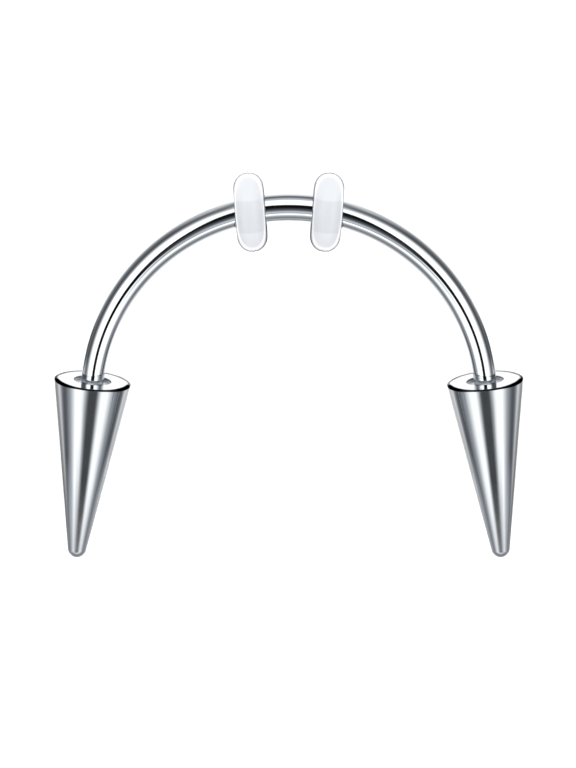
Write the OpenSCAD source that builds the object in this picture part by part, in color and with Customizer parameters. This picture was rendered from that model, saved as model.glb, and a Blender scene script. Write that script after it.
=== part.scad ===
// Fang lip ring: a curved bar with a threaded-on spike at each end and two soft stoppers on it.
// Millimetres. It lies on its side on the plane z = 0, the way it comes to rest by itself: on the
// rims of both spikes' flat tops and on both stoppers. The middle of the arch points to +Y.

/* [Bar] */
// Diameter of the bar where it enters each spike (16 gauge)
bar_end_d = 1.2; // [1.0:0.05:1.3]
// Diameter of the bar at the middle of the arch, where it is thickest
bar_mid_d = 1.43; // [1.3:0.01:1.6]
// Radius of the arch, to the bar's centre line
arch_r = 10.5; // [9:0.25:12]
// Angle from the middle of the arch to each end of the bar
arch_half_angle = 84.7; // [80:0.1:88]
// Diameter of the plain stud at each end, where the real one has its thread
stud_d = 1.0; // [0.8:0.05:1.05]
// Length of the stud, which is the thread's length
stud_l = 3; // [2:0.25:4]

/* [Spikes] */
// Diameter of a spike at its flat top
spike_d = 4.1; // [3.6:0.05:4.6]
// Length of a spike from its flat top to its tip
spike_l = 9.8; // [8:0.1:12]
// Radius of the rounded tip
tip_r = 0.5; // [0.3:0.05:0.7]
// Width of the bevel round the flat top
rim_bevel = 0.07; // [0.02:0.01:0.15]
// Diameter of the recess that the bar enters
recess_d = 2; // [1.8:0.05:2.4]
// Depth of the recess
recess_depth = 0.15; // [0.1:0.05:0.8]

/* [Stoppers] */
// Diameter of a stopper
stopper_d = 4.25; // [3.6:0.05:4.6]
// Thickness of a stopper, whose edge is a full round
stopper_t = 1.6; // [1.2:0.05:1.8]
// Angle along the arch from its middle to a stopper
stopper_angle = 11.3; // [8:0.1:20]
// Lean of a stopper away from the other one, at the side that faces out of the arch
stopper_lean = 4.8; // [0:0.1:10]
// How far a stopper's middle sits inside the bar's centre line, towards the arch's centre
stopper_inset = 0.09; // [0:0.01:0.15]

/* [Clearances] */
// Gap all round the stud in its hole, and between the bar's shoulder and the recess floor
stud_gap = 0.03; // [0.01:0.01:0.08]
// Gap all round the bar in a stopper's hole
stopper_gap = 0.02; // [0.01:0.01:0.05]

/* [Hidden] */
$fn = 96;

// Steps along the bar and sides round it
bar_steps = 56;
bar_sides = 24;
// How far the stud reaches back into the bar, so that the two are one solid
stud_root = 0.5;
// Extra depth of a cut past the face that it opens, and of a hole past the stud's end
over = 1;
hole_spare = 1;

// Spike: distance from the flat top to the centre of the tip's sphere, and the flank's slope
tip_centre = spike_l - tip_r;
rim_r = spike_d / 2;
rim_to_tip = sqrt(rim_r * rim_r + tip_centre * tip_centre);
flank_angle = acos(tip_r / rim_to_tip) - atan2(tip_centre, rim_r);

// Rest: the lowest points of the spikes' rims, just under their bevels, and of the stoppers' edges
// are all at z = 0. The stoppers are the wider, so the arch's plane rises a little towards them
splay = 90 - arch_half_angle;
foot_r = rim_r - rim_bevel * tan(flank_angle);
foot_y = arch_r * cos(arch_half_angle) - rim_bevel * cos(splay);
stopper_seat_r = arch_r - stopper_inset;
stopper_y = stopper_seat_r * cos(stopper_angle);
rest_tilt = asin((stopper_d / 2 - foot_r) / (stopper_y - foot_y));
rest_lift = stopper_d / 2 - stopper_y * sin(rest_tilt);

// Middle of the whole thing along Y, between the tips' spheres and the stoppers' edges
tip_y = arch_r * cos(arch_half_angle) - tip_centre * cos(splay);
stopper_flat_r = (stopper_d - stopper_t) / 2;
stopper_reach = stopper_t / 2 + stopper_flat_r * sqrt(1 - pow(cos(rest_tilt) * sin(stopper_lean), 2));
back_y = stopper_y * cos(rest_tilt) + stopper_reach;
front_y = tip_y * cos(rest_tilt) - tip_r;
middle_y = (back_y + front_y) / 2;

// Radius of the bar at an angle from the middle of the arch: it swells smoothly to the middle
function swell(a) = (cos(a) - cos(arch_half_angle)) / (1 - cos(arch_half_angle));
function bar_r(a) = (bar_end_d + (bar_mid_d - bar_end_d) * swell(a)) / 2;

// One ring of points round the bar at an angle, slid straight on past the arch's end
function bar_ring(a, slide = 0) = [
    for (i = [0 : bar_sides - 1])
        let (turn = 360 * i / bar_sides, reach = arch_r + bar_r(a) * cos(turn))
        [reach * sin(a) + slide * cos(a), reach * cos(a) - slide * sin(a), bar_r(a) * sin(turn)]
];

// Lays the arch, drawn flat in the XY plane about its own centre, down to rest
module at_rest() {
    translate([0, -middle_y, rest_lift])
        rotate([rest_tilt, 0, 0])
            children();
}

// Places a child that points along +Z at the bar's right end, pointing on past it
module at_right_end() {
    translate([arch_r * sin(arch_half_angle), arch_r * cos(arch_half_angle), 0])
        rotate([90, 0, splay])
            children();
}

// Curved part of the bar with its two ends, which run straight down into the recesses
module bar_sweep() {
    run = recess_depth - stud_gap;
    rings = [
        bar_ring(-arch_half_angle, -run),
        for (k = [0 : bar_steps]) bar_ring(arch_half_angle * (2 * k / bar_steps - 1)),
        bar_ring(arch_half_angle, run)
    ];
    last = len(rings) - 1;
    walls = [
        for (k = [0 : last - 1], i = [0 : bar_sides - 1])
            let (j = (i + 1) % bar_sides, a = k * bar_sides, b = a + bar_sides)
            each [[a + i, b + i, b + j], [a + i, b + j, a + j]]
    ];
    first_cap = [for (i = [0 : bar_sides - 1]) i];
    last_cap = [for (i = [bar_sides - 1 : -1 : 0]) last * bar_sides + i];
    polyhedron(points = [for (ring = rings) each ring], faces = concat(walls, [first_cap, last_cap]));
}

module stud() {
    translate([0, 0, recess_depth - stud_root])
        cylinder(d = stud_d, h = stud_root + stud_l);
}

// Spike along +Z from its flat top, with the recess and the hole that takes the stud
module spike() {
    difference() {
        union() {
            rotate_extrude()
                polygon([
                    [0, 0],
                    [rim_r - rim_bevel, 0],
                    [rim_r - rim_bevel * tan(flank_angle), rim_bevel],
                    [tip_r * cos(flank_angle), tip_centre + tip_r * sin(flank_angle)],
                    [0, tip_centre + tip_r * sin(flank_angle)]
                ]);
            translate([0, 0, tip_centre])
                sphere(r = tip_r);
        }
        translate([0, 0, -over])
            cylinder(d = recess_d, h = over + recess_depth);
        translate([0, 0, -over])
            cylinder(d = stud_d + 2 * stud_gap, h = over + recess_depth + stud_l + hole_spare);
    }
}

// Flat disc along +Z with a fully rounded edge
module disc() {
    rotate_extrude()
        union() {
            translate([0, -stopper_t / 2])
                square([stopper_flat_r, stopper_t]);
            intersection() {
                translate([stopper_flat_r, 0])
                    circle(d = stopper_t);
                translate([0, -stopper_t])
                    square([stopper_d, 2 * stopper_t]);
            }
        }
}

// Stopper on the right of the arch, with a hole that follows the bar's own curve
module stopper() {
    difference() {
        translate([stopper_seat_r * sin(stopper_angle), stopper_seat_r * cos(stopper_angle), 0])
            rotate([0, 0, -stopper_lean])
                rotate([0, 90, 0])
                    disc();
        rotate_extrude()
            translate([arch_r, 0])
                circle(r = bar_r(stopper_angle) + stopper_gap);
    }
}

module bar() {
    color("gainsboro")
        at_rest()
            union() {
                bar_sweep();
                at_right_end()
                    stud();
                mirror([1, 0, 0])
                    at_right_end()
                        stud();
            }
}

module left_spike() {
    color("silver")
        at_rest()
            mirror([1, 0, 0])
                at_right_end()
                    spike();
}

module right_spike() {
    color("silver")
        at_rest()
            at_right_end()
                spike();
}

module left_stopper() {
    color("whitesmoke", 0.6)
        at_rest()
            mirror([1, 0, 0])
                stopper();
}

module right_stopper() {
    color("whitesmoke", 0.6)
        at_rest()
            stopper();
}

bar();
left_spike();
right_spike();
left_stopper();
right_stopper();
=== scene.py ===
import math
import bmesh
import bpy
from mathutils import Matrix, Vector


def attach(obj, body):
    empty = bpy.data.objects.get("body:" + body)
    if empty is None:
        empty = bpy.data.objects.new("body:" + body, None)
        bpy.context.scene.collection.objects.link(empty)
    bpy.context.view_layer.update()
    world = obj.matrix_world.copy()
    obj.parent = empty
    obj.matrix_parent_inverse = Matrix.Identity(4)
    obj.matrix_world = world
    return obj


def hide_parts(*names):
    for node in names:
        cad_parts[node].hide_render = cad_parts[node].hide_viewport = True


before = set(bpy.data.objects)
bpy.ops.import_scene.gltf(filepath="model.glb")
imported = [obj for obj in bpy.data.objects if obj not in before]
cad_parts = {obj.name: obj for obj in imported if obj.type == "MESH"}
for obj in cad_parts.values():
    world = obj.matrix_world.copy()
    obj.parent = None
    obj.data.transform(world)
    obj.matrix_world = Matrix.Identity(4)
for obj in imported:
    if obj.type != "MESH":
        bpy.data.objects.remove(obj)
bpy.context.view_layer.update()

# Everything is drawn in millimetres about the arch's own centre, then laid down to rest in metres: tilted,
# in degrees, lifted, and moved so that its middle is over the origin. part.scad works out the same values
restPose = {"tilt": 0.53317, "lift": 2.03001, "middle": 1.76906}
arch = {"radius": 10.5, "halfAngle": 84.7}

archEnd = math.radians(arch["halfAngle"])
splay = math.pi / 2 - archEnd
layDown = (
    Matrix.Scale(0.001, 4)
    @ Matrix.Translation((0, -restPose["middle"], restPose["lift"]))
    @ Matrix.Rotation(math.radians(restPose["tilt"]), 4, "X")
)


def sideways(side):
    return "right" if side > 0 else "left"


def archPoint(angle, radius=arch["radius"]):
    return Vector((radius * math.sin(angle), radius * math.cos(angle), 0))


def putInScene(name, content):
    item = bpy.data.objects.new(name, content)
    bpy.context.scene.collection.objects.link(item)
    return item


def skinRings(name, rings, place, looped=False):
    # rings hold pairs: the point as shown, and the same point on the piece's own straight axis along Z
    points, starts, faces = [], [], []
    for ring in rings:
        starts.append(len(points))
        points += ring
    steps = [(k, k + 1) for k in range(len(rings) - 1)]
    if looped:
        steps.append((len(rings) - 1, 0))
    for a, b in steps:
        sides = max(len(rings[a]), len(rings[b]))
        for i in range(sides):
            j = (i + 1) % sides
            low = [starts[a] + i, starts[a] + j] if len(rings[a]) > 1 else [starts[a]]
            high = [starts[b] + j, starts[b] + i] if len(rings[b]) > 1 else [starts[b]]
            faces.append(low + high)
    mesh = bpy.data.meshes.new(name)
    mesh.from_pydata([layDown @ place @ shown for shown, own in points], [], faces)
    ownPlace = mesh.attributes.new("ownPlace", "FLOAT_VECTOR", "POINT")
    ownPlace.data.foreach_set("vector", [value for shown, own in points for value in own])
    built = bmesh.new()
    built.from_mesh(mesh)
    bmesh.ops.recalc_face_normals(built, faces=built.faces)
    built.to_mesh(mesh)
    built.free()
    mesh.polygons.foreach_set("use_smooth", [True] * len(mesh.polygons))
    mesh.update()
    return putInScene(name, mesh)


def circle(radius, sides):
    turns = [2 * math.pi * i / sides for i in range(sides)]
    return [(radius * math.cos(t), radius * math.sin(t)) for t in turns]


def roundCorners(corners, steps=6, holdAt=1.3):
    # corners are (radius from the axis, height, rounding). Each rounded one becomes an arc, with a point
    # on either side, at holdAt times the arc's run, that keeps the shading of the flats even
    line = []
    for k, (r, z, rounding) in enumerate(corners):
        here = Vector((r, z))
        if not rounding:
            line.append(here)
            continue
        back = (Vector(corners[k - 1][:2]) - here).normalized()
        ahead = (Vector(corners[k + 1][:2]) - here).normalized()
        half = back.angle(ahead) / 2
        run = rounding / math.tan(half)
        hub = here + (back + ahead).normalized() * rounding / math.sin(half)
        first, last = here + back * run - hub, here + ahead * run - hub
        turn = first.angle_signed(last)
        line.append(here + back * run * holdAt)
        for s in range(steps + 1):
            line.append(hub + Matrix.Rotation(-turn * s / steps, 2) @ first)
        line.append(here + ahead * run * holdAt)
    return line


def turnRings(line, sides):
    # turns a line of (radius, height) round the Z axis, with a single point where it meets the axis
    rings = []
    for r, z in line:
        ring = [Vector((x, y, z)) for x, y in circle(r, sides)] if r > 1e-6 else [Vector((0, 0, z))]
        rings.append([(point, point) for point in ring])
    return rings


# Camera: the photograph's angle to the arch, far enough away to be all but free of perspective. down is
# in degrees, the lens and the sensor in mm, the scale in mm to a pixel, the aim in pixels from the arch's
# centre, and the nearest and the farthest that it sees in metres
cameraSet = {
    "down": 75.83, "lens": 800, "sensor": 36, "scale": 0.0533, "pixelsHigh": 768,
    "aimX": -0.8, "aimY": 13.9, "nearest": 0.01, "farthest": 5,
}

cameraFar = cameraSet["scale"] * cameraSet["lens"] / cameraSet["sensor"] * cameraSet["pixelsHigh"]
lean = math.radians(90 - cameraSet["down"])
towards = Vector((0, math.sin(lean), math.cos(lean)))
cameraUp = Vector((0, math.cos(lean), -math.sin(lean)))
archCentre = Vector((0, -restPose["middle"], restPose["lift"]))
aim = archCentre + cameraSet["scale"] * (Vector((cameraSet["aimX"], 0, 0)) + cameraSet["aimY"] * cameraUp)
cameraData = bpy.data.cameras.new("camera")
cameraData.lens = cameraSet["lens"]
cameraData.sensor_width = cameraSet["sensor"]
cameraData.clip_start = cameraSet["nearest"]
cameraData.clip_end = cameraSet["farthest"]
camera = putInScene("camera", cameraData)
camera.location = (aim + towards * cameraFar) / 1000
camera.rotation_mode = "QUATERNION"
camera.rotation_quaternion = Matrix((Vector((1, 0, 0)), cameraUp, towards)).transposed().to_quaternion()
bpy.context.scene.camera = camera
print("camera set", round(cameraFar), "mm away")


def linear(hexColour):
    parts = [int(hexColour[i:i + 2], 16) / 255 for i in (1, 3, 5)]
    return [p / 12.92 if p <= 0.04045 else ((p + 0.055) / 1.055) ** 2.4 for p in parts] + [1]


def addNode(tree, kind, settings=None, links=None):
    # a setting that starts with a small letter is the node's own, any other is a socket's value
    node = tree.nodes.new(kind)
    for name, value in (settings or {}).items():
        if isinstance(name, str) and name[0].islower():
            setattr(node, name, value)
        else:
            node.inputs[name].default_value = value
    for name, source in (links or {}).items():
        tree.links.new(source, node.inputs[name])
    return node


def newMaterial(name):
    material = bpy.data.materials.new(name)
    material.use_nodes = True
    tree = material.node_tree
    tree.nodes.clear()
    return material, tree


white, black = (1, 1, 1, 1), (0, 0, 0, 1)
softStep = {"interpolation_type": "SMOOTHSTEP"}
colourMix = {"data_type": "RGBA"}  # its inputs are 0 the share, 6 the first colour and 7 the second


def drawnPolishedSteel():
    # surgical steel wire, drawn, bent and tumble polished: mirror bright, with faint lines along the wire.
    # The real lines are finer, and these are as wide as they need to be to show. Sizes are in mm
    look = {
        "colour": "#CFD3D6", "roughness": 0.06, "smoothest": 0.6, "roughest": 1.5, "smudgeWidth": 1.25,
        "lineWidth": 0.03, "alongScale": 0.03, "lineDepth": 0.0004, "lineStrength": 0.2,
    }
    material, tree = newMaterial("drawnPolishedSteel")
    place = addNode(tree, "ShaderNodeAttribute", {"attribute_name": "ownPlace"}).outputs["Vector"]
    along = addNode(tree, "ShaderNodeMapping", {"Scale": (1, 1, look["alongScale"])}, {"Vector": place})
    lines = addNode(tree, "ShaderNodeTexNoise", {"Scale": 1 / look["lineWidth"], "Detail": 3},
                    {"Vector": along.outputs[0]})
    smudge = addNode(tree, "ShaderNodeTexNoise", {"Scale": 1 / look["smudgeWidth"], "Detail": 4},
                     {"Vector": place})
    rough = addNode(tree, "ShaderNodeMapRange", {
        "To Min": look["roughness"] * look["smoothest"], "To Max": look["roughness"] * look["roughest"],
    }, {"Value": smudge.outputs[0]})
    bump = addNode(tree, "ShaderNodeBump",
                   {"Strength": look["lineStrength"], "Distance": look["lineDepth"] / 1000},
                   {"Height": lines.outputs[0]})
    steel = addNode(tree, "ShaderNodeBsdfPrincipled",
                    {"Base Color": linear(look["colour"]), "Metallic": 1.0},
                    {"Roughness": rough.outputs[0], "Normal": bump.outputs[0]})
    addNode(tree, "ShaderNodeOutputMaterial", {}, {"Surface": steel.outputs[0]})
    return material


# Bar: thicker in the middle, with a straight run into each recess and a threaded stud past it
bar = {
    "endDiameter": 1.2, "midDiameter": 1.43, "straightRun": 0.12, "edgeRound": 0.05,
    "studDiameter": 1.0, "studLength": 3.0, "sides": 64, "bendSteps": 220,
}
# The thread starts a little past the shoulder, grows out of the stud's core and dies away into it
thread = {
    "pitch": 0.25, "depth": 0.1, "flankSlope": 2.6, "start": 0.15, "spare": 0.2, "growsOver": 0.2,
    "diesOver": 0.15, "coreRound": 0.03, "tipEdge": 0.02, "tipRound": 0.05, "stepsPerPitch": 10,
}


def barRadius(angle):
    swell = (math.cos(angle) - math.cos(archEnd)) / (1 - math.cos(archEnd))
    return (bar["endDiameter"] + (bar["midDiameter"] - bar["endDiameter"]) * swell) / 2


def barRing(angle, past, radii):
    # past is how far the ring lies beyond the bend's end, straight on
    out = archPoint(angle, 1)
    on = Vector((out.y, -out.x, 0)) * (1 if angle > 0 else -1)
    middle = archPoint(angle) + on * past
    along = angle * arch["radius"] + math.copysign(past, angle)
    ring = []
    for i, r in enumerate(radii):
        t = 2 * math.pi * i / len(radii)
        shown = middle + out * r * math.cos(t) + Vector((0, 0, r * math.sin(t)))
        ring.append((shown, Vector((r * math.cos(t), r * math.sin(t), along))))
    return ring


def threadRadii(side, z, last, core):
    # radii round the stud at a distance z into the thread, which is last mm long
    fade = min(1, z / thread["growsOver"], (last - z) / thread["diesOver"])
    radii = []
    for i in range(bar["sides"]):
        phase = (side * z / thread["pitch"] - i / bar["sides"]) % 1
        ridge = max(0, min(1, thread["flankSlope"] * (0.5 - abs(phase - 0.5))))
        radii.append(core + thread["depth"] * ridge * fade)
    return radii


def studEnd(side):
    # rings from the bend's end out to the stud's tip
    sides, edge, run = bar["sides"], bar["edgeRound"], bar["straightRun"]
    endRadius = bar["endDiameter"] / 2
    core = bar["studDiameter"] / 2 - thread["depth"]
    rings = []
    justPast = run * 0.2  # the first ring past the bend
    bite = edge * 0.3  # what the rounded edge loses at its middle
    for past, r in [
        (justPast, endRadius), (run - edge, endRadius), (run - bite, endRadius - bite),
        (run, endRadius - edge), (run, core + thread["coreRound"]), (run + thread["coreRound"], core),
    ]:
        rings.append(barRing(side * archEnd, past, [r] * sides))
    step = thread["pitch"] / thread["stepsPerPitch"]
    count = round((bar["studLength"] - thread["spare"]) / step)
    for k in range(count + 1):
        radii = threadRadii(side, k * step, count * step, core)
        rings.append(barRing(side * archEnd, run + thread["start"] + k * step, radii))
    tip = run + bar["studLength"]
    rings.append(barRing(side * archEnd, tip - thread["tipEdge"], [core] * sides))
    rings.append(barRing(side * archEnd, tip, [core - thread["tipRound"]] * sides))
    rings.append(barRing(side * archEnd, tip, [0.0]))
    return rings


bend = []
for k in range(bar["bendSteps"] + 1):
    angle = archEnd * (2 * k / bar["bendSteps"] - 1)
    bend.append(barRing(angle, 0, [barRadius(angle)] * bar["sides"]))
archBar = skinRings("arch_bar", studEnd(-1)[::-1] + bend + studEnd(1), Matrix.Identity(4))
archBar.data.materials.append(drawnPolishedSteel())
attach(archBar, "bar")
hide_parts("bar")
print("bar bent,", len(archBar.data.vertices), "points")

# Spikes: turned cones with a bevelled rim, a recess for the bar, and a drilled hole for the stud
spike = {
    "diameter": 4.1, "length": 9.8, "tipRadius": 0.5, "tipSteps": 16, "sides": 192,
    "bevelDepth": 0.07, "bevelWidth": 0.1, "bevelRound": 0.015,
    "recessDiameter": 2.0, "recessDepth": 0.15, "recessRound": 0.08, "lipRound": 0.025,
    "holeDiameter": 1.06, "holeDepth": 4.15, "holeRound": 0.04, "drillPoint": 0.3,
}


def turnedSteel():
    # surgical steel bar, turned to a cone and polished on the lathe: bright bands with soft edges, and
    # fine rings round the cone, drawn no finer than they need to be to show. Sizes are in mm
    look = {
        "colour": "#CACED1", "roughness": 0.1, "smoothest": 0.8, "roughest": 1.25, "smudgeWidth": 0.833,
        "ringPitch": 0.06, "acrossScale": 0.04, "ringDepth": 0.0004, "ringStrength": 0.3, "mattAdds": 0.25,
    }
    # the wheel misses the bevel, which stays matt; its dark line is a painted reflection, wider on the
    # underside
    bevel = {
        "colour": "#232429", "from": 1.84, "to": 1.94, "solidDown": 0.07, "goneDown": 0.085,
        "underWider": 0.13, "underFull": -1.0,
    }
    # at both sides of the upper half the painted line and its painted-out reflection are black, wider and
    # deeper
    sides = {
        "colour": "#0C0C0E", "from": 0.7, "to": 1.6, "upFrom": 0.05, "upTo": 0.5,
        "wider": 0.06, "deeper": 0.05,
    }
    # the recess and the hole stay matt, with painted shade and a lighter upper half of painted light, and
    # towards the tip the steel is rougher and its colour darker
    recess = {
        "colour": "#B4B6BC", "paintedLightColour": "#E6E8EC", "upperFull": 0.35,
        "overRadius": 0.005, "overDepth": 0.2,
    }
    towardsTip = {"colour": "#B8BBBF", "from": 5.2, "to": 9.2, "share": 0.6}
    material, tree = newMaterial("turnedSteel")
    place = addNode(tree, "ShaderNodeAttribute", {"attribute_name": "ownPlace"}).outputs["Vector"]
    split = addNode(tree, "ShaderNodeSeparateXYZ", {}, {0: place})
    across, up, down = split.outputs["X"], split.outputs["Y"], split.outputs["Z"]
    flat = addNode(tree, "ShaderNodeVectorMath", {"operation": "MULTIPLY", 1: (1, 1, 0)}, {0: place})
    reach = addNode(tree, "ShaderNodeVectorMath", {"operation": "LENGTH"},
                    {0: flat.outputs[0]}).outputs["Value"]

    # where the painted line's black sides are
    sideOff = addNode(tree, "ShaderNodeMath", {"operation": "ABSOLUTE"}, {0: across})
    atSides = addNode(tree, "ShaderNodeMapRange",
                      {**softStep, "From Min": sides["from"], "From Max": sides["to"]},
                      {"Value": sideOff.outputs[0]})
    onUpper = addNode(tree, "ShaderNodeMapRange",
                      {**softStep, "From Min": sides["upFrom"], "From Max": sides["upTo"]}, {"Value": up})
    upperSides = addNode(tree, "ShaderNodeMath", {"operation": "MULTIPLY"},
                         {0: atSides.outputs[0], 1: onUpper.outputs[0]}).outputs[0]

    # where the bevel and its painted dark line are
    under = addNode(tree, "ShaderNodeMapRange", {
        **softStep, "From Min": 0.0, "From Max": bevel["underFull"], "To Max": bevel["underWider"],
    }, {"Value": up})
    lower = addNode(tree, "ShaderNodeMath", {"operation": "ADD"}, {0: reach, 1: under.outputs[0]})
    widened = addNode(tree, "ShaderNodeMath", {"operation": "MULTIPLY_ADD", 1: sides["wider"]},
                      {0: upperSides, 2: lower.outputs[0]})
    nearEdge = addNode(tree, "ShaderNodeMapRange",
                       {**softStep, "From Min": bevel["from"], "From Max": bevel["to"]},
                       {"Value": widened.outputs[0]})
    raised = addNode(tree, "ShaderNodeMath", {"operation": "MULTIPLY_ADD", 1: -sides["deeper"]},
                     {0: upperSides, 2: down})
    nearTop = addNode(tree, "ShaderNodeMapRange",
                      {"From Min": bevel["goneDown"], "From Max": bevel["solidDown"]},
                      {"Value": raised.outputs[0]})
    onBevel = addNode(tree, "ShaderNodeMath", {"operation": "MULTIPLY"},
                      {0: nearEdge.outputs[0], 1: nearTop.outputs[0]}).outputs[0]
    paintedBlackSides = addNode(tree, "ShaderNodeMath", {"operation": "MULTIPLY"}, {0: onBevel, 1: upperSides})

    # where the recess, the hole and the darker tip are
    nearAxis = addNode(tree, "ShaderNodeMath",
                       {"operation": "LESS_THAN", 1: spike["recessDiameter"] / 2 + recess["overRadius"]},
                       {0: reach})
    aboveTip = addNode(tree, "ShaderNodeMath",
                       {"operation": "LESS_THAN", 1: spike["holeDepth"] + recess["overDepth"]}, {0: down})
    inRecess = addNode(tree, "ShaderNodeMath", {"operation": "MULTIPLY"},
                       {0: nearAxis.outputs[0], 1: aboveTip.outputs[0]}).outputs[0]
    upperHalf = addNode(tree, "ShaderNodeMapRange",
                        {**softStep, "From Min": 0.0, "From Max": recess["upperFull"]}, {"Value": up})
    nearTip = addNode(tree, "ShaderNodeMapRange",
                      {"From Min": towardsTip["from"], "From Max": towardsTip["to"], "To Max": 1.0},
                      {"Value": down}).outputs[0]

    # colour
    # painted shade in the recess and the hole, and painted light on their upper half
    paintedBoreShade = addNode(tree, "ShaderNodeMix",
                       {**colourMix, 6: linear(recess["colour"]), 7: linear(recess["paintedLightColour"])},
                       {0: upperHalf.outputs[0]})
    bored = addNode(tree, "ShaderNodeMix", {**colourMix, 6: linear(look["colour"])},
                    {0: inRecess, 7: paintedBoreShade.outputs[2]})
    # the colour darker towards the tip
    tipDarkened = addNode(tree, "ShaderNodeMix", {**colourMix, 7: linear(towardsTip["colour"])},
                     {0: nearTip, 6: bored.outputs[2]})
    # painted shade: the bevel's dark line, black at the upper sides
    paintedBevelShade = addNode(tree, "ShaderNodeMix",
                        {**colourMix, 6: linear(bevel["colour"]), 7: linear(sides["colour"])},
                        {0: upperSides})
    edged = addNode(tree, "ShaderNodeMix", colourMix,
                    {0: onBevel, 6: tipDarkened.outputs[2], 7: paintedBevelShade.outputs[2]})
    # painted dark reflection: the reflection's tint turns black on the line's upper sides
    paintedBlackReflection = addNode(tree, "ShaderNodeMix", {**colourMix, 6: white, 7: black},
                       {0: paintedBlackSides.outputs[0]})

    # roughness and rings
    smudge = addNode(tree, "ShaderNodeTexNoise", {"Scale": 1 / look["smudgeWidth"], "Detail": 4},
                     {"Vector": place})
    sheen = addNode(tree, "ShaderNodeMapRange", {
        "To Min": look["roughness"] * look["smoothest"], "To Max": look["roughness"] * look["roughest"],
    }, {"Value": smudge.outputs[0]})
    unpolished = addNode(tree, "ShaderNodeMath", {"operation": "MAXIMUM"}, {0: onBevel, 1: inRecess})
    scuffed = addNode(tree, "ShaderNodeMath", {"operation": "MULTIPLY", 1: towardsTip["share"]}, {0: nearTip})
    matt = addNode(tree, "ShaderNodeMath", {"operation": "MAXIMUM"},
                   {0: unpolished.outputs[0], 1: scuffed.outputs[0]})
    spread = addNode(tree, "ShaderNodeMath", {"operation": "MULTIPLY_ADD", 1: look["mattAdds"]},
                     {0: matt.outputs[0], 2: sheen.outputs[0]})
    around = addNode(tree, "ShaderNodeMapping", {"Scale": (look["acrossScale"], look["acrossScale"], 1)},
                     {"Vector": place})
    rings = addNode(tree, "ShaderNodeTexNoise", {"Scale": 1 / look["ringPitch"], "Detail": 3},
                    {"Vector": around.outputs[0]})
    bump = addNode(tree, "ShaderNodeBump",
                   {"Strength": look["ringStrength"], "Distance": look["ringDepth"] / 1000},
                   {"Height": rings.outputs[0]})
    steel = addNode(tree, "ShaderNodeBsdfPrincipled", {"Metallic": 1.0}, {
        "Base Color": edged.outputs[2], "Specular Tint": paintedBlackReflection.outputs[2],
        "Roughness": spread.outputs[0], "Normal": bump.outputs[0],
    })
    addNode(tree, "ShaderNodeOutputMaterial", {}, {"Surface": steel.outputs[0]})
    return material


def spikeLine():
    # the cone's own half outline, from the bottom of the hole round to the tip
    rim, tip = spike["diameter"] / 2, spike["tipRadius"]
    hub = spike["length"] - tip
    slope = math.acos(tip / math.hypot(rim, hub)) - math.atan2(hub, rim)
    hole, recess, deep = spike["holeDiameter"] / 2, spike["recessDiameter"] / 2, spike["recessDepth"]
    meet = (tip * math.cos(slope), hub + tip * math.sin(slope))
    bevelDepth, bevelRound = spike["bevelDepth"], spike["bevelRound"]
    bevelOuter = rim - bevelDepth * math.tan(slope)
    bevelInner = bevelOuter - spike["bevelWidth"]
    holeEnd = spike["holeDepth"] - spike["drillPoint"]
    line = [Vector((0, spike["holeDepth"]))]
    line += roundCorners([
        (hole, holeEnd, 0), (hole, deep, spike["holeRound"]), (recess, deep, spike["recessRound"]),
        (recess, 0, spike["lipRound"]), (bevelInner, 0, bevelRound), (bevelOuter, bevelDepth, bevelRound),
        (*meet, 0),
    ])
    for k in range(1, spike["tipSteps"]):
        turn = slope + (math.pi / 2 - slope) * k / spike["tipSteps"]
        line.append(Vector((tip * math.cos(turn), hub + tip * math.sin(turn))))
    line.append(Vector((0, spike["length"])))
    return line


coneSteel = turnedSteel()
for side in (-1, 1):
    name = sideways(side) + "_spike"
    place = (
        Matrix.Translation(archPoint(side * archEnd))
        @ Matrix.Rotation(side * splay, 4, "Z")
        @ Matrix.Rotation(math.pi / 2, 4, "X")
    )
    cone = skinRings(name + "_cone", turnRings(spikeLine(), spike["sides"]), place)
    cone.data.materials.append(coneSteel)
    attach(cone, name)
    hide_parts(name)
print("spikes turned")

# Stoppers: soft discs with a fully rounded edge and a faint moulding seam, gripping the bar
stopper = {
    "diameter": 4.25, "thickness": 1.6, "angle": 11.3, "lean": 4.8, "inset": 0.09, "gap": 0.01,
    "seam": 0.02, "holeLip": 0.05, "faceRings": (0.8, 0.97), "edgeSteps": 24, "holeSteps": 8, "sides": 144,
}


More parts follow.
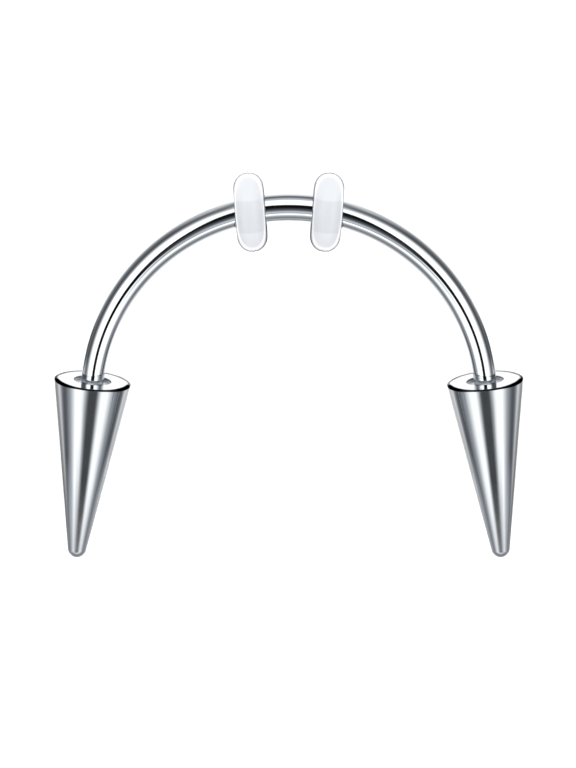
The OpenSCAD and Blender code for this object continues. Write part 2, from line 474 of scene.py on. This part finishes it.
def mouldedSilicone():
    # clear silicone rubber, moulded with a satin face: milky white, with a grey band of painted shade
    # where the bar shows through inside, and grey and mirror-like at its very edge, with a painted white
    # highlight line just inside that. Sizes are in mm, and the highlight line and the edge are each
    # between two values of Facing
    look = {
        "colour": "#DEE0E3", "roughness": 0.16, "scatter": 0.4,
        "grainWidth": 0.0833, "grainDepth": 0.02, "grainStrength": 0.15,
        "barShadeColour": "#D4D6DA", "barShadeMiddle": 0.19, "barShadeWide": 0.86, "barShadeSoft": 0.06,
        "barShadeInside": 0.6, "barShadeOutside": 0.8,
        "highlightFrom": 0.48, "highlightTo": 0.64, "edgeColour": "#7C7E84", "edgeFrom": 0.66, "edgeTo": 0.9,
    }
    material, tree = newMaterial("mouldedSilicone")
    place = addNode(tree, "ShaderNodeAttribute", {"attribute_name": "ownPlace"}).outputs["Vector"]
    grain = addNode(tree, "ShaderNodeTexNoise", {"Scale": 1 / look["grainWidth"], "Detail": 2},
                    {"Vector": place})
    bump = addNode(tree, "ShaderNodeBump",
                   {"Strength": look["grainStrength"], "Distance": look["grainDepth"] / 1000},
                   {"Height": grain.outputs[0]})
    split = addNode(tree, "ShaderNodeSeparateXYZ", {}, {0: place})
    above = addNode(tree, "ShaderNodeMath", {"operation": "SUBTRACT", 1: look["barShadeMiddle"]},
                    {0: split.outputs["Y"]})
    off = addNode(tree, "ShaderNodeMath", {"operation": "ABSOLUTE"}, {0: above.outputs[0]})
    band = addNode(tree, "ShaderNodeMapRange",
                   {**softStep, "From Min": look["barShadeWide"] + look["barShadeSoft"],
                    "From Max": look["barShadeWide"] - look["barShadeSoft"]}, {"Value": off.outputs[0]})
    depth = addNode(tree, "ShaderNodeMath", {"operation": "ABSOLUTE"}, {0: split.outputs["Z"]})
    withinEdge = addNode(tree, "ShaderNodeMapRange",
                         {**softStep, "From Min": look["barShadeOutside"], "From Max": look["barShadeInside"]},
                         {"Value": depth.outputs[0]})
    # painted shade where the bar shows through, on the round edge only
    core = addNode(tree, "ShaderNodeMath", {"operation": "MULTIPLY"},
                   {0: band.outputs[0], 1: withinEdge.outputs[0]})
    milkyAndBarShade = addNode(tree, "ShaderNodeMix",
                    {**colourMix, 6: linear(look["colour"]), 7: linear(look["barShadeColour"])},
                    {0: core.outputs[0]})
    grazing = addNode(tree, "ShaderNodeLayerWeight", {"Blend": 0.5}).outputs["Facing"]
    # painted highlight: a white line put into the colour just inside the glancing edge
    onPaintedHighlight = addNode(tree, "ShaderNodeMapRange",
                     {**softStep, "From Min": look["highlightFrom"], "From Max": look["highlightTo"]},
                     {"Value": grazing})
    withPaintedHighlight = addNode(tree, "ShaderNodeMix", {**colourMix, 7: white},
                    {0: onPaintedHighlight.outputs[0], 6: milkyAndBarShade.outputs[2]})
    rubber = addNode(tree, "ShaderNodeBsdfPrincipled", {
        "Roughness": look["roughness"], "IOR": 1.41, "Subsurface Weight": 1.0,
        "Subsurface Radius": (1, 1, 1), "Subsurface Scale": look["scatter"] / 1000,
    }, {"Base Color": withPaintedHighlight.outputs[2], "Normal": bump.outputs[0]})
    atEdge = addNode(tree, "ShaderNodeMapRange",
                     {**softStep, "From Min": look["edgeFrom"], "From Max": look["edgeTo"]},
                     {"Value": grazing})
    gloss = addNode(tree, "ShaderNodeBsdfGlossy",
                    {"Color": linear(look["edgeColour"]), "Roughness": look["roughness"]})
    edged = addNode(tree, "ShaderNodeMixShader", {},
                    {0: atEdge.outputs[0], 1: rubber.outputs[0], 2: gloss.outputs[0]})
    addNode(tree, "ShaderNodeOutputMaterial", {}, {"Surface": edged.outputs[0]})
    return material


def stopperRings(place, side):
    half = stopper["thickness"] / 2
    flat = stopper["diameter"] / 2 - half
    # round the outside, from one flat face over the full round to the other
    face = [flat * part for part in stopper["faceRings"]]
    outer = [(r, -half) for r in face]
    for k in range(stopper["edgeSteps"] + 1):
        turn = math.pi * (k / stopper["edgeSteps"] - 0.5)
        seam = stopper["seam"] if abs(k - stopper["edgeSteps"] / 2) == 1 else 0
        outer.append((flat + (half - seam) * math.cos(turn), half * math.sin(turn)))
    outer += [(r, half) for r in face[::-1]]
    rings = turnRings(outer, stopper["sides"])
    # back through the hole, which follows the bar's own bend
    seat = place.translation
    axis = (place.to_3x3() @ Vector((0, 0, 1))).normalized()
    leanIn = math.atan2(-side * axis.y, axis.x)
    hole = barRadius(math.radians(stopper["angle"])) + stopper["gap"]
    for k in range(stopper["holeSteps"] + 1):
        height = half * (1 - 2 * k / stopper["holeSteps"])
        angle = side * (leanIn + math.asin((side * height + side * seat.dot(axis)) / arch["radius"]))
        off = place.inverted() @ archPoint(angle)
        lip = stopper["holeLip"] if k in (0, stopper["holeSteps"]) else 0
        points = [Vector((off.x + x, off.y + y, height)) for x, y in circle(hole + lip, stopper["sides"])]
        rings.append([(point, point) for point in points])
    return rings


clearRubber = mouldedSilicone()
for side in (-1, 1):
    name = sideways(side) + "_stopper"
    seat = archPoint(side * math.radians(stopper["angle"]), arch["radius"] - stopper["inset"])
    place = (
        Matrix.Translation(seat)
        @ Matrix.Rotation(-side * math.radians(stopper["lean"]), 4, "Z")
        @ Matrix.Rotation(math.pi / 2, 4, "Y")
    )
    disc = skinRings(name + "_disc", stopperRings(place, side), place, looped=True)
    disc.data.materials.append(clearRubber)
    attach(disc, "bar")
    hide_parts(name)
print("stoppers moulded")

# Floor: a sheet of white paper. The steel doesn't reflect it, as the ring stands free in the photograph,
# and reflects the cards under the ring instead
floorSheet = {"halfWidth": 2.0, "colour": "#FAFAFA"}


def whitePaper():
    # white paper, uncoated: an even matt white, like the photograph's background
    material, tree = newMaterial("whitePaper")
    paper = addNode(tree, "ShaderNodeBsdfDiffuse", {"Color": linear(floorSheet["colour"])})
    addNode(tree, "ShaderNodeOutputMaterial", {}, {"Surface": paper.outputs[0]})
    return material


floorMesh = bpy.data.meshes.new("floor")
floorCorners = [(x * floorSheet["halfWidth"], y * floorSheet["halfWidth"], 0)
                for x, y in ((-1, -1), (1, -1), (1, 1), (-1, 1))]
floorMesh.from_pydata(floorCorners, [], [(0, 1, 2, 3)])
floorMesh.materials.append(whitePaper())
floor = putInScene("floor", floorMesh)
floor.visible_glossy = False

# Surround: its brightness by the angle from straight overhead, in degrees
ringLight = [
    (0, 1.8), (50, 1.8), (58, 1.4), (67, 0.74), (75, 0.42), (81, 0.3), (87, 0.24), (93, 0.27), (99, 0.38),
    (105, 0.55), (111, 0.73), (117, 0.9), (123, 1.02), (130, 1.12), (140, 1.25), (150, 1.35),
    (162, 1.5), (180, 1.5),
]
shade = linear("#F4F8FF")  # a little blue, for what is dimmer than shadeBelow
shadeBelow = 0.7
# Cards a long way off: the direction of each one's middle, how far it reaches along X, Y and Z, and what
# it multiplies the light by, so a level under 1 is a dark card and one over 1 a white one. A squared one
# has fuller corners, and one to the side has a twin on the other side
farCards = [
    {"middle": (0, 0.09, 0.99), "size": (0.28, 0.42, 0.6), "level": 0.004, "soft": 0.1, "squared": True},
    {"middle": (0, -0.36, 0.93), "size": (0.08, 0.14, 0.6), "level": 0.15, "soft": 0.4},
    {"middle": (0, -0.58, 0.81), "size": (0.33, 0.15, 0.6), "level": 0.05, "soft": 0.5},
    {"middle": (0.83, -0.52, 0.22), "size": (0.6, 0.17, 0.32), "level": 1.6, "soft": 0.5},
    {"middle": (0.86, -0.47, -0.25), "size": (0.6, 0.16, 0.25), "level": 0.3, "soft": 0.6},
    {"middle": (0, -0.98, 0.12), "size": (0.5, 0.6, 0.15), "level": 1.5, "soft": 0.5},
    {"middle": (0, 0.98, 0.2), "size": (0.3, 0.5, 0.28), "level": 3.0, "soft": 0.35},
    {"middle": (0.6, 0.25, 0.76), "size": (0.28, 0.13, 0.5), "level": 1.6, "soft": 0.4},
]

world = bpy.data.worlds.new("studio")
world.use_nodes = True
tree = world.node_tree
tree.nodes.clear()
heading = addNode(tree, "ShaderNodeTexCoord").outputs["Generated"]
split = addNode(tree, "ShaderNodeSeparateXYZ", {}, {0: heading})
fromTop = addNode(tree, "ShaderNodeMath", {"operation": "ARCCOSINE"}, {0: split.outputs["Z"]})
share = addNode(tree, "ShaderNodeMath", {"operation": "DIVIDE", 1: math.pi}, {0: fromTop.outputs[0]})
brightest = max(level for angle, level in ringLight)
ramp = addNode(tree, "ShaderNodeValToRGB", {}, {0: share.outputs[0]})
stops = ramp.color_ramp.elements
for angle, level in ringLight[1:-1]:
    stops.new(angle / 180)
for stop, (angle, level) in zip(stops, ringLight):
    stop.position = angle / 180
    stop.color = [level / brightest * (part if level < shadeBelow else 1) for part in shade]
light = ramp.outputs[0]
for card in farCards:
    x, y, z = card["middle"]
    for twinX in ((-x, x) if x else (x,)):
        off = addNode(tree, "ShaderNodeVectorMath", {"operation": "SUBTRACT", 1: (twinX, y, z)},
                      {0: heading})
        scaled = addNode(tree, "ShaderNodeVectorMath", {"operation": "DIVIDE", 1: card["size"]},
                         {0: off.outputs[0]})
        if card.get("squared"):
            scaled = addNode(tree, "ShaderNodeVectorMath", {"operation": "MULTIPLY"},
                             {0: scaled.outputs[0], 1: scaled.outputs[0]})
        reach = addNode(tree, "ShaderNodeVectorMath", {"operation": "LENGTH"}, {0: scaled.outputs[0]})
        outside = addNode(tree, "ShaderNodeMapRange",
                          {**softStep, "From Min": 1 - card["soft"], "From Max": 1 + card["soft"]},
                          {"Value": reach.outputs["Value"]})
        cardTone = [card["level"] * (part if card["level"] < 1 else 1) for part in shade]
        tone = addNode(tree, "ShaderNodeMix", {**colourMix, 6: cardTone, 7: white},
                       {0: outside.outputs[0]})
        light = addNode(tree, "ShaderNodeMix", {**colourMix, "blend_type": "MULTIPLY", 0: 1.0},
                        {6: light, 7: tone.outputs[2]}).outputs[2]
ray = addNode(tree, "ShaderNodeLightPath")
surround = addNode(tree, "ShaderNodeBackground", {"Strength": brightest}, {"Color": light})
backdrop = addNode(tree, "ShaderNodeBackground", {"Color": white, "Strength": 1.0})
seen = addNode(tree, "ShaderNodeMixShader", {},
               {0: ray.outputs["Is Camera Ray"], 1: surround.outputs[0], 2: backdrop.outputs[0]})
addNode(tree, "ShaderNodeOutputWorld", {}, {"Surface": seen.outputs[0]})
bpy.context.scene.world = world
bpy.context.scene.view_settings.view_transform = "Standard"
print("surround lit,", len(farCards), "kinds of far card")


def lightOnly(lamp, piece):
    # the lamp lights this one piece and nothing else
    lit = bpy.data.collections.new("lit_by_" + lamp.name)
    lit.objects.link(piece)
    lamp.light_linking.receiver_collection = lit


# A card that lights the bar alone, where the black card for the spikes would darken it: far in metres, and
# where it stands, how wide it is and how long in degrees
barCard = {"along": -43, "far": 0.4, "wide": 20, "long": 10, "level": 0.6}
barCardData = bpy.data.lights.new("bar_card", "AREA")
barCardData.shape = "RECTANGLE"
barCardData.size = 2 * barCard["far"] * math.tan(math.radians(barCard["wide"]))
barCardData.size_y = 2 * barCard["far"] * math.tan(math.radians(barCard["long"]))
barCardData.energy = barCard["level"] * math.pi * barCardData.size * barCardData.size_y
barCardLamp = putInScene("bar_card", barCardData)
standsAt = math.radians(barCard["along"])
barCardLamp.location = barCard["far"] * Vector((0, math.sin(standsAt), math.cos(standsAt)))
barCardLamp.rotation_euler = (-standsAt, 0, 0)
barCardLamp.visible_camera = False
lightOnly(barCardLamp, archBar)

# Cards close by, on both sides, which the steel alone reflects. The rows of a profile are the radius, the
# height above the floor, how solid the card is there and how bright. bend gives the angles round the arch
# between which a card runs, or past how far beyond the bend's end it starts and stops. fade gives the
# shares of its length over which it comes in and goes out. Cards that overlap lie a hair apart, as a ray
# can skip one of two at the same height
nearCards = [
    # for the bar: a cove, an edge, a foot and a back card darken its outer edge all the way round
    {"name": "dark_cove", "bend": (18, 86), "fade": (0.3, 0.05),
     "profile": [(12.8, -0.02, 0, 0), (15.0, -0.02, 0.72, 0), (16.4, 3.0, 0.5, 0), (17.0, 5.5, 0, 0)]},
    {"name": "dark_back", "bend": (0, 24), "fade": (0, 0.5),
     "profile": [(12.6, -0.1, 0, 0), (14.5, -0.1, 0.3, 0), (17.0, -0.1, 0.85, 0), (20.0, -0.1, 0.6, 0),
                 (28.0, -0.1, 0, 0)]},
    {"name": "dark_edge", "bend": (15, 79.5), "fade": (0.15, 0.03),
     "profile": [(11.3, 0, 0, 0), (12.2, 0, 0.28, 0), (13.4, 0, 0.28, 0), (15.0, 0, 0, 0)]},
    {"name": "dark_foot", "bend": (66, 87), "fade": (0.4, 0.1),
     "profile": [(12.3, -0.04, 0, 0), (12.5, -0.04, 0.9, 0), (15.4, -0.04, 0.6, 0), (17.0, -0.04, 0, 0)]},
    # for the spikes: strips beside each one darken its two edges
    {"name": "outer_strip", "past": (0, 12.5), "fade": (0.1, 0.25),
     "profile": [(12.2, -0.06, 0, 0), (13.0, -0.06, 0.75, 0), (14.4, -0.06, 0.65, 0),
                 (16.5, -0.06, 0, 0)]},
    {"name": "inner_strip", "past": (0, 12.5), "fade": (0.1, 0.25),
     "profile": [(10.2, 0, 0, 0), (9.0, 0, 0.45, 0), (6.6, 0, 0.4, 0), (5.0, 0, 0, 0)]},
    # overhead, a grey stripe down the outer side of each, and a shade that widens it near the tip
    {"name": "stripe_card", "past": (2, 20), "fade": (0.2, 0.1),
     "profile": [(11.0, 10, 0, 0), (12.2, 10, 0.48, 0), (13.2, 10, 0.48, 0), (14.6, 10, 0.16, 0),
                 (16.5, 10, 0, 0)]},
    {"name": "tip_shade", "past": (8, 20), "fade": (0.4, 0.1),
     "profile": [(12.0, 10.02, 0, 0), (14.2, 10.02, 0.35, 0), (16.5, 10.02, 0.35, 0),
                 (19.5, 10.02, 0, 0)]},
    # near the tips, a darker outer edge, a pale line inside each edge and a grey end
    {"name": "tip_edge", "past": (4, 12), "fade": (0.3, 0.2),
     "profile": [(11.6, -0.08, 0, 0), (12.3, -0.08, 0.4, 0), (13.2, -0.08, 0.4, 0), (13.8, -0.08, 0, 0)]},
    {"name": "outer_glow", "past": (5.5, 14), "fade": (0.45, 0.15),
     "profile": [(14.0, 4.5, 0, 1.2), (14.2, 3.5, 0.4, 1.2), (14.2, 2.7, 0.5, 1.1), (14.2, 1.7, 0.2, 1),
                 (14.0, 0.6, 0, 1)]},
    {"name": "inner_glow", "past": (5.5, 14), "fade": (0.45, 0.15),
     "profile": [(7.5, 0, 0, 1), (6.0, 0, 0.35, 1), (4.5, 0.9, 0.4, 1), (4.5, 1.6, 0.4, 1),
                 (4.5, 2.3, 0, 1)]},
    {"name": "tip_card", "past": (10.4, 17), "fade": (0.1, 0.3),
     "profile": [(8.9, 0.02, 0, 0.7), (9.6, 0.02, 1, 0.7), (11.5, 0.02, 1, 0.7), (12.1, 0.02, 0, 0.7)]},
    # for the bar's middle, a dark patch inside the arch, and overhead a card from black through white to
    # grey, which gives the soft step under the bar's black line
    {"name": "dark_patch", "bend": (0, 17), "fade": (0, 0.4),
     "profile": [(10.0, 0, 0, 0), (8.6, 0, 0.85, 0), (4.5, 0, 0.25, 0), (0.5, 0, 0, 0)]},
    {"name": "sky_card", "bend": (0, 60), "fade": (0, 0.5),
     "profile": [(12.0, 10, 0, 0.02), (11.3, 10, 0.9, 0.02), (10.5, 10, 1, 0.07), (9.2, 10, 1, 0.14),
                 (7.9, 10, 1, 0.4), (6.3, 10, 1, 0.95), (4.6, 10, 1, 0.65), (3.0, 10, 0, 0.65)]},
]
cardSteps = 36


def cardCloth(name, oneSided=False):
    # thin lit cloth, as solid and as bright at each place as its card's profile says. A one-sided cloth is
    # only seen from the side that faces its own spike
    material, tree = newMaterial(name)
    solid = addNode(tree, "ShaderNodeAttribute", {"attribute_name": "solidity"}).outputs["Fac"]
    if oneSided:
        facing = addNode(tree, "ShaderNodeNewGeometry")
        front = addNode(tree, "ShaderNodeMath", {"operation": "SUBTRACT", 0: 1.0},
                        {1: facing.outputs["Backfacing"]})
        solid = addNode(tree, "ShaderNodeMath", {"operation": "MULTIPLY"},
                        {0: front.outputs[0], 1: solid}).outputs[0]
    bright = addNode(tree, "ShaderNodeAttribute", {"attribute_name": "brightness"})
    clear = addNode(tree, "ShaderNodeBsdfTransparent")
    glow = addNode(tree, "ShaderNodeEmission", {"Color": shade}, {"Strength": bright.outputs["Fac"]})
    mixed = addNode(tree, "ShaderNodeMixShader", {}, {0: solid, 1: clear.outputs[0], 2: glow.outputs[0]})
    addNode(tree, "ShaderNodeOutputMaterial", {}, {"Surface": mixed.outputs[0]})
    return material


def hangCard(card, side, cloth):
    profile = card["profile"]
    angleFrom, angleTo = card.get("bend", (arch["halfAngle"], arch["halfAngle"]))
    pastFrom, pastTo = card.get("past", (0, 0))
    fadeIn, fadeOut = card["fade"]
    corners, faces, solidity, brightness = [], [], [], []
    for k in range(cardSteps + 1):
        part = k / cardSteps
        turn = side * math.radians(angleFrom + (angleTo - angleFrom) * part)
        out = archPoint(turn, 1)
        past = Vector((out.y, -out.x, 0)) * side * (pastFrom + (pastTo - pastFrom) * part)
        fade = min(1, part / fadeIn if fadeIn else 1, (1 - part) / fadeOut)
        for reach, height, firm, level in profile:
            onFloor = (layDown @ (archPoint(turn, reach) + past)) * Vector((1, 1, 0))
            corners.append(onFloor + Vector((0, 0, height / 1000)))
            solidity.append(firm * fade)
            brightness.append(level)
    rows = len(profile)
    for a in range(0, rows * cardSteps, rows):
        for i in range(a, a + rows - 1):
            face = (i, i + 1, i + rows + 1, i + rows)
            faces.append(face[::side])  # the left is a mirror image, so its faces are reversed
    mesh = bpy.data.meshes.new(sideways(side) + "_" + card["name"])
    mesh.from_pydata(corners, [], faces)
    for label, values in (("solidity", solidity), ("brightness", brightness)):
        mesh.attributes.new(label, "FLOAT", "POINT").data.foreach_set("value", values)
    mesh.materials.append(cloth)
    hung = putInScene(mesh.name, mesh)
    hung.visible_camera = hung.visible_diffuse = hung.visible_transmission = False
    hung.visible_shadow = False


plainCloth = cardCloth("cardCloth")
glowCloth = cardCloth("glowCloth", oneSided=True)
for side in (-1, 1):
    for card in nearCards:
        hangCard(card, side, glowCloth if card["name"].endswith("glow") else plainCloth)
print("near cards hung,", len(nearCards), "on each side")

# A light on the floor alone, which casts no shadow, so that only a faint one is left round the ring, as in
# the photograph
floorLight = {"strength": 1.1}
floorLightData = bpy.data.lights.new("floor_light", "SUN")
floorLightData.energy = floorLight["strength"]
floorLightData.use_shadow = False
lightOnly(putInScene("floor_light", floorLightData), floor)
print("floor lit")
